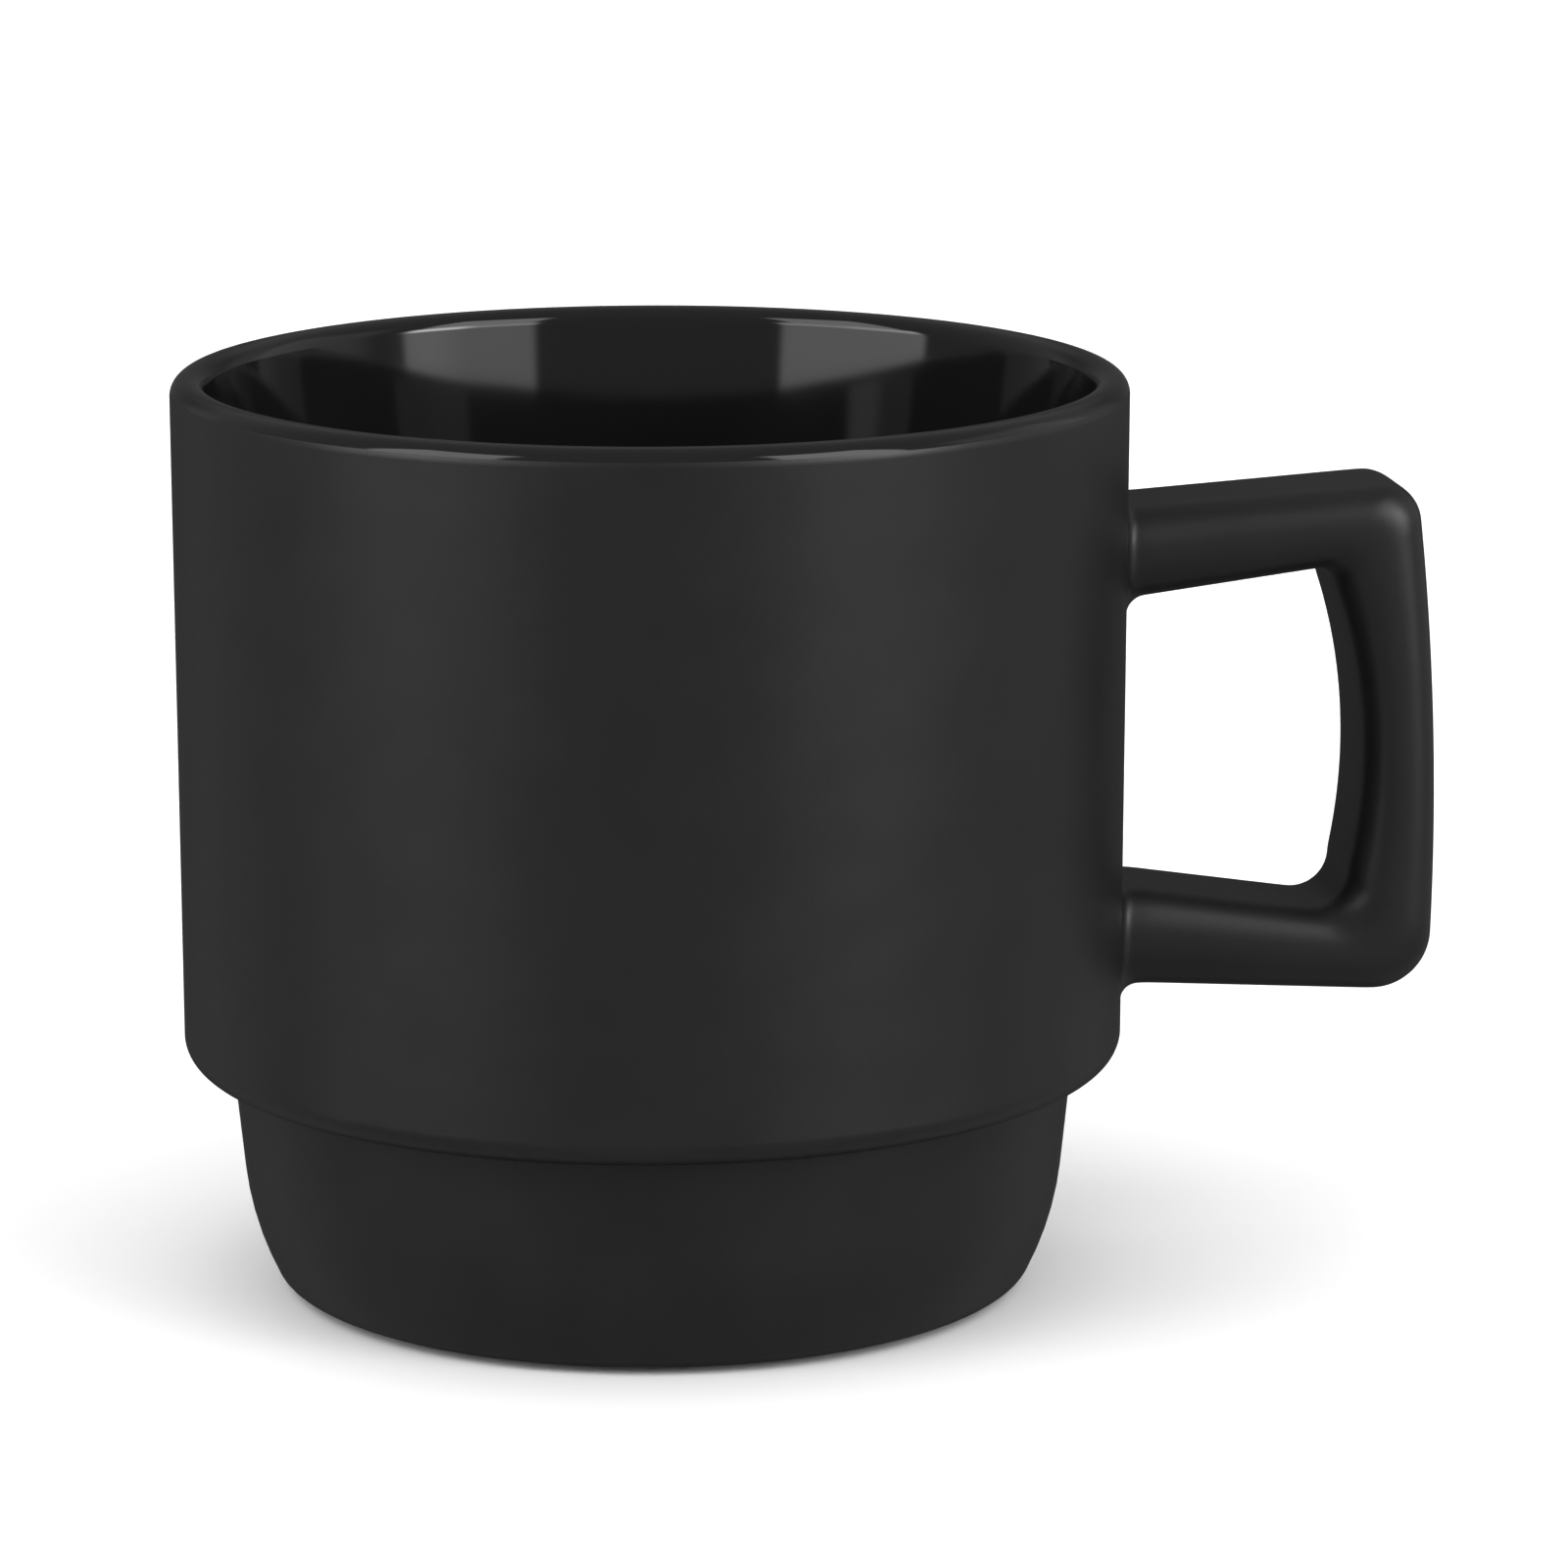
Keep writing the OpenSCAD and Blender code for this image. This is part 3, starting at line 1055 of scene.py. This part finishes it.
@dataclass(frozen=True)
class GlossGlaze(Finish):
    """Gloss black glaze with the slow waviness of a poured and fired coat."""

    slot: Slot = Slot.GLOSS
    dark: Colour = (0.0052, 0.0052, 0.0054)
    light: Colour = (0.0064, 0.0064, 0.0066)
    roughness: float = 0.06
    cloud_roughness: float = 0.02
    speck_roughness: float = 0.2
    ior: float = 1.5

    def material(self) -> bpy.types.Material:
        """Makes the material."""
        graph = Graph.of_material("gloss_black_glaze")
        cloud = graph.noise(size=11, detail=2)
        specks = graph.dots(spacing=4.0, radius=0.14, share=0.2)
        waves = graph.bump(graph.noise(size=8, detail=0), depth=0.02)
        return graph.surface(
            {
                "Base Color": graph.mix(cloud, self.dark, self.light),
                "Roughness": self.roughness
                + cloud * self.cloud_roughness
                + specks * self.speck_roughness,
                "IOR": self.ior,
                "Normal": graph.bump(1 - specks, depth=0.01, under=waves),
            }
        )


@dataclass(frozen=True)
class BareClay(Finish):
    """Unglazed fired stoneware: matte and gritty, with iron specks."""

    slot: Slot = Slot.CLAY
    dark: Colour = (0.42, 0.34, 0.27)
    light: Colour = (0.58, 0.50, 0.41)
    speck: Colour = (0.16, 0.11, 0.08)
    roughness: float = 0.85
    grit_roughness: float = 0.15
    # Shares of the soft clouding and of the grit in the clay's colour.
    cloud_share: float = 0.6
    grit_share: float = 0.4

    def material(self) -> bpy.types.Material:
        """Makes the material."""
        graph = Graph.of_material("bare_stoneware")
        cloud = graph.noise(size=5, detail=3)
        grit = graph.noise(size=0.35, detail=3, roughness=0.7)
        specks = graph.dots(spacing=1.2, radius=0.22, share=0.3)
        tone = cloud * self.cloud_share + grit * self.grit_share
        body = graph.mix(tone, self.dark, self.light)
        return graph.surface(
            {
                "Base Color": graph.mix(specks, body, self.speck),
                "Roughness": self.roughness + (grit - 0.5) * self.grit_roughness,
                "Normal": graph.bump(grit, depth=0.06),
            }
        )


@dataclass(frozen=True)
class FiredSlip(Finish):
    """Joining slip fired between the handle and the wall, smoother than the clay."""

    slot: Slot = Slot.SLIP
    dark: Colour = (0.46, 0.39, 0.32)
    light: Colour = (0.62, 0.55, 0.47)
    roughness: float = 0.8
    cloud_roughness: float = 0.1

    def material(self) -> bpy.types.Material:
        """Makes the material."""
        graph = Graph.of_material("fired_slip")
        cloud = graph.noise(size=3, detail=3)
        strokes = graph.noise(size=0.8, detail=1)
        return graph.surface(
            {
                "Base Color": graph.mix(cloud, self.dark, self.light),
                "Roughness": self.roughness + (cloud - 0.5) * self.cloud_roughness,
                "Normal": graph.bump(strokes, depth=0.05),
            }
        )


# ----------------------------------------------------------------------------------------
# Sub-assemblies
# ----------------------------------------------------------------------------------------


def report(piece: bpy.types.Object) -> None:
    """Logs a piece's name and size."""
    size = piece.dimensions / MM
    log.info("%s: %d faces, %.1f x %.1f x %.1f mm", piece.name, len(piece.data.polygons), *size)


@dataclass
class Finishes:
    """Every finish of the mug, each with its one material."""

    satin: SatinGlaze
    gloss: GlossGlaze
    clay: BareClay
    slip: FiredSlip

    def __post_init__(self) -> None:
        """Makes the materials."""
        found = (self.satin, self.gloss, self.clay, self.slip)
        self.materials = {finish.slot: finish.material() for finish in found}

    def put_on(self, piece: bpy.types.Object, finish: Finish) -> None:
        """Gives a piece its material.

        Args:
            piece: a finished piece, or a node of the CAD model.
            finish: one of the finishes.
        """
        piece.data.materials.clear()
        piece.data.materials.append(self.materials[finish.slot])


@dataclass
class Bowl:
    """The thrown part of the mug: its clay and the coats of glaze on it."""

    shape: BowlShape
    finishes: Finishes

    def clay(self) -> bpy.types.Object:
        """Fired clay, bare only on the foot ring."""
        shape = self.shape
        inner, outer = shape.inside(shape.glaze_t), shape.outside(shape.glaze_t)
        outline = [*backwards(inner), *outer[1:], *shape.foot()]
        piece = turned("clay_body", outline, closed=False)
        self.finishes.put_on(piece, self.finishes.clay)
        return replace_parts(piece, "body")

    def liner(self) -> bpy.types.Object:
        """Gloss glaze inside and over the lip."""
        shape = self.shape
        outline = [*shape.inside(0), *backwards(shape.inside(shape.glaze_t))]
        piece = turned("gloss_liner", outline, closed=True)
        self.finishes.put_on(piece, self.finishes.gloss)
        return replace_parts(piece, "liner_glaze")

    def coat(self) -> bpy.types.Object:
        """Satin glaze outside, down to just short of the foot ring."""
        shape = self.shape
        stop_r = shape.foot_in_r + shape.foot_w + shape.bare_margin
        under = shape.foot_h + shape.glaze_t
        outline = [
            *shape.outside(0),
            Arc(stop_r, shape.foot_h),
            Arc(stop_r, under),
            *backwards(shape.outside(shape.glaze_t)),
        ]
        piece = turned("satin_coat", outline, closed=True)
        self.finishes.put_on(piece, self.finishes.satin)
        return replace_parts(piece, "outer_glaze")

    def recess(self) -> bpy.types.Object:
        """Satin glaze on the underside, inside the foot ring."""
        shape = self.shape
        low, high = shape.recess_z, shape.recess_z + shape.glaze_t
        edge = shape.glaze_t * shape.recess_rounding
        outline = [
            Arc(0, low),
            Arc(shape.recess_r - edge, low + edge, edge, -90, 0),
            Arc(shape.recess_r, high),
            Arc(0, high),
        ]
        piece = turned("satin_recess", outline, closed=False)
        self.finishes.put_on(piece, self.finishes.satin)
        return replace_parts(piece, "recess_glaze")

    def build(self) -> list[bpy.types.Object]:
        """Builds the four pieces of the bowl."""
        return [self.clay(), self.liner(), self.coat(), self.recess()]


@dataclass
class Handle:
    """The glazed handle, and the clay and slip inside it that the CAD model gives."""

    shape: HandleShape
    finishes: Finishes

    def coat(self) -> bpy.types.Object:
        """Satin glaze over the handle and its two joints."""
        stations = self.shape.stations()
        # Drawn at the arm's size, so that its corners are round along the whole loop.
        sweep = Sweep("satin_handle", self.shape.loop()[0], self.shape.edge_r)
        sweep.start_at(stations[0])
        for station in stations[1:]:
            sweep.extrude_to(station)
        for station in stations:
            if station.lift is not None:
                sweep.wrap(station, self.shape.bowl.wall_r(station.middle.y))
        piece = sweep.finish(self.shape.bowl.glaze_t)
        self.finishes.put_on(piece, self.finishes.satin)
        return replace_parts(piece, "handle_glaze")

    def core(self) -> list[bpy.types.Object]:
        """The CAD model's clay handle and slip joints, dressed."""
        clay = frame["nodes"]["handle"]
        joints = [frame["nodes"]["upper_joint"], frame["nodes"]["lower_joint"]]
        self.finishes.put_on(clay, self.finishes.clay)
        for joint in joints:
            self.finishes.put_on(joint, self.finishes.slip)
        return [clay, *joints]

    def build(self) -> list[bpy.types.Object]:
        """Builds the coat and dresses what is under it."""
        return [self.coat(), *self.core()]


# ----------------------------------------------------------------------------------------
# Studio
# ----------------------------------------------------------------------------------------


@dataclass(frozen=True)
class Softbox:
    """A soft-edged patch of the studio's dome, lit or darkened.

    Azimuths are in degrees, 0 in front of the mug, 90 on the handle's side and 180 behind.

    Attributes:
        start: azimuth of its one side.
        end: azimuth of its other side, the larger one.
        low: height of its lower edge above the horizon, in degrees.
        high: height of its upper edge.
        radiance: what it adds to the room's brightness, with 1 as bright as white.
        edge: width of its soft edge, in degrees.
    """

    start: float
    end: float
    low: float
    high: float
    radiance: float
    edge: float = 3.0

    def light(self, graph: Graph, azimuth: Value, height: Value) -> Value:
        """Its brightness over the dome."""
        soft = self.edge / 2
        across = graph.band(azimuth, self.start - soft, self.start + soft) * graph.band(
            azimuth, self.end + soft, self.end - soft
        )
        upright = graph.band(height, self.low - soft, self.low + soft) * graph.band(
            height, self.high + soft, self.high - soft
        )
        return across * upright * self.radiance


@dataclass(frozen=True)
class Studio:
    """Pale floor, a dome with softboxes on it, soft light from above, and the camera.

    Attributes:
        softboxes: the dome's patches.
        room: brightness of the dome between them.
        overhead: strength of the light from above, in watts per square metre.
        overhead_spread: how much of the sky it fills, in degrees.
        floor_size: side of the floor, in metres.
        floor_tone: how pale it is at its darkest, with 1 as white.
        floor_cloud: size of the soft clouding on it, in millimetres.
        camera_place: in metres.
        camera_heading: direction of view, in degrees to the right of straight ahead.
        camera_tilt: its slope above level, in degrees.
        lens: focal length, in millimetres.
        sensor: width of the sensor, in millimetres.
        nearest: how close to the camera things still show, in metres.
    """

    softboxes: tuple[Softbox, ...] = (
        # Right softbox: brightest in its middle and at its outer side.
        Softbox(24, 62, -5, 12, 2.0),
        Softbox(48, 62, -5, 12, 0.5, 12),
        Softbox(24, 62, 12, 25, 4.6),
        Softbox(44, 62, 12, 25, 8.0, 8),
        Softbox(26, 60, 25, 52, 3.4),
        # Left softbox.
        Softbox(-86, -43, -5, 12, 2.2),
        Softbox(-86, -43, 12, 25, 4.4),
        Softbox(-86, -64, 12, 25, 1.2, 8),
        Softbox(-82, -47, 25, 52, 3.0),
        # Pale wall on the handle's side.
        Softbox(75, 120, -5, 38, 0.35, 12),
        # Black cards behind the mug, which keep its edges dark.
        Softbox(135, 200, -100, 25, -0.20, 20),
        Softbox(-200, -150, -100, 25, -0.20, 20),
    )
    room: float = 0.30
    overhead: float = 2.9
    overhead_spread: float = 120.0
    floor_size: float = 8.0
    floor_tone: float = 0.92
    floor_variation: float = 0.01
    floor_cloud: float = 400.0
    floor_roughness: float = 0.9
    camera_place: tuple[float, float, float] = (-0.0802, -0.6275, 0.1850)
    camera_heading: float = 8.42
    camera_tilt: float = -12.248
    lens: float = 156.34
    sensor: float = 36.0
    nearest: float = 0.01

    def floor(self) -> None:
        """A wide pale floor."""
        clear_selection()
        bpy.ops.mesh.primitive_plane_add(size=self.floor_size)
        floor = bpy.context.active_object
        floor.name = "floor"
        graph = Graph.of_material("pale_floor")
        cloud = graph.noise(size=self.floor_cloud, detail=1)
        pale, paler = (self.floor_tone,) * 3, (self.floor_tone + self.floor_variation,) * 3
        colour = graph.mix(cloud, pale, paler)
        floor.data.materials.append(
            graph.surface({"Base Color": colour, "Roughness": self.floor_roughness})
        )
        # The mug mirrors the dome's lower half, which is darker, in place of the floor.
        floor.visible_glossy = False

    def skylight(self) -> None:
        """Very soft light from straight above, which makes no highlights."""
        data = bpy.data.lights.new("skylight", "SUN")
        data.energy = self.overhead
        data.angle = math.radians(self.overhead_spread)
        lamp = bpy.data.objects.new("skylight", data)
        bpy.context.scene.collection.objects.link(lamp)
        lamp.visible_glossy = False

    def dome(self) -> None:
        """A dim even room with the softboxes on it."""
        graph = Graph(bpy.data.worlds.new("room"))
        way = graph.add("ShaderNodeTexCoord").outputs["Generated"]
        split = graph.add("ShaderNodeSeparateXYZ", None, {"Vector": way})
        x, y, z = (Value(graph, split.outputs[name]) for name in "XYZ")
        azimuth = graph.math("ARCTAN2", x, y * -1) * math.degrees(1)
        height = graph.math("ARCSINE", z, 0) * math.degrees(1)
        light: Value | float = self.room
        for softbox in self.softboxes:
            light = softbox.light(graph, azimuth, height) + light
        shade = graph.add("ShaderNodeBackground", None, {"Strength": light})
        graph.add("ShaderNodeOutputWorld", None, {"Surface": shade.outputs[0]})
        bpy.context.scene.world = graph.owner

    def camera(self) -> None:
        """The camera, a long lens a little above the lip."""
        data = bpy.data.cameras.new("camera")
        data.lens = self.lens
        data.sensor_width = self.sensor
        data.clip_start = self.nearest
        camera = bpy.data.objects.new("camera", data)
        bpy.context.scene.collection.objects.link(camera)
        camera.location = self.camera_place
        camera.rotation_euler = (
            math.radians(90 + self.camera_tilt),
            0,
            math.radians(-self.camera_heading),
        )
        bpy.context.scene.camera = camera

    def build(self) -> None:
        """Sets up the studio round the mug."""
        self.floor()
        self.dome()
        self.skylight()
        self.camera()
        bpy.context.scene.view_settings.view_transform = "Standard"


def main() -> None:
    """Builds the mug and its studio."""
    logging.basicConfig(level=logging.INFO, format="%(message)s")
    finishes = Finishes(SatinGlaze(), GlossGlaze(), BareClay(), FiredSlip())
    bowl_shape = BowlShape.from_frame()
    for assembly in (Bowl(bowl_shape, finishes), Handle(HandleShape(bowl_shape), finishes)):
        for piece in assembly.build():
            if "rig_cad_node" not in piece:
                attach(piece, BODY)
            report(piece)
    Studio().build()


if __name__ == "__main__":
    main()
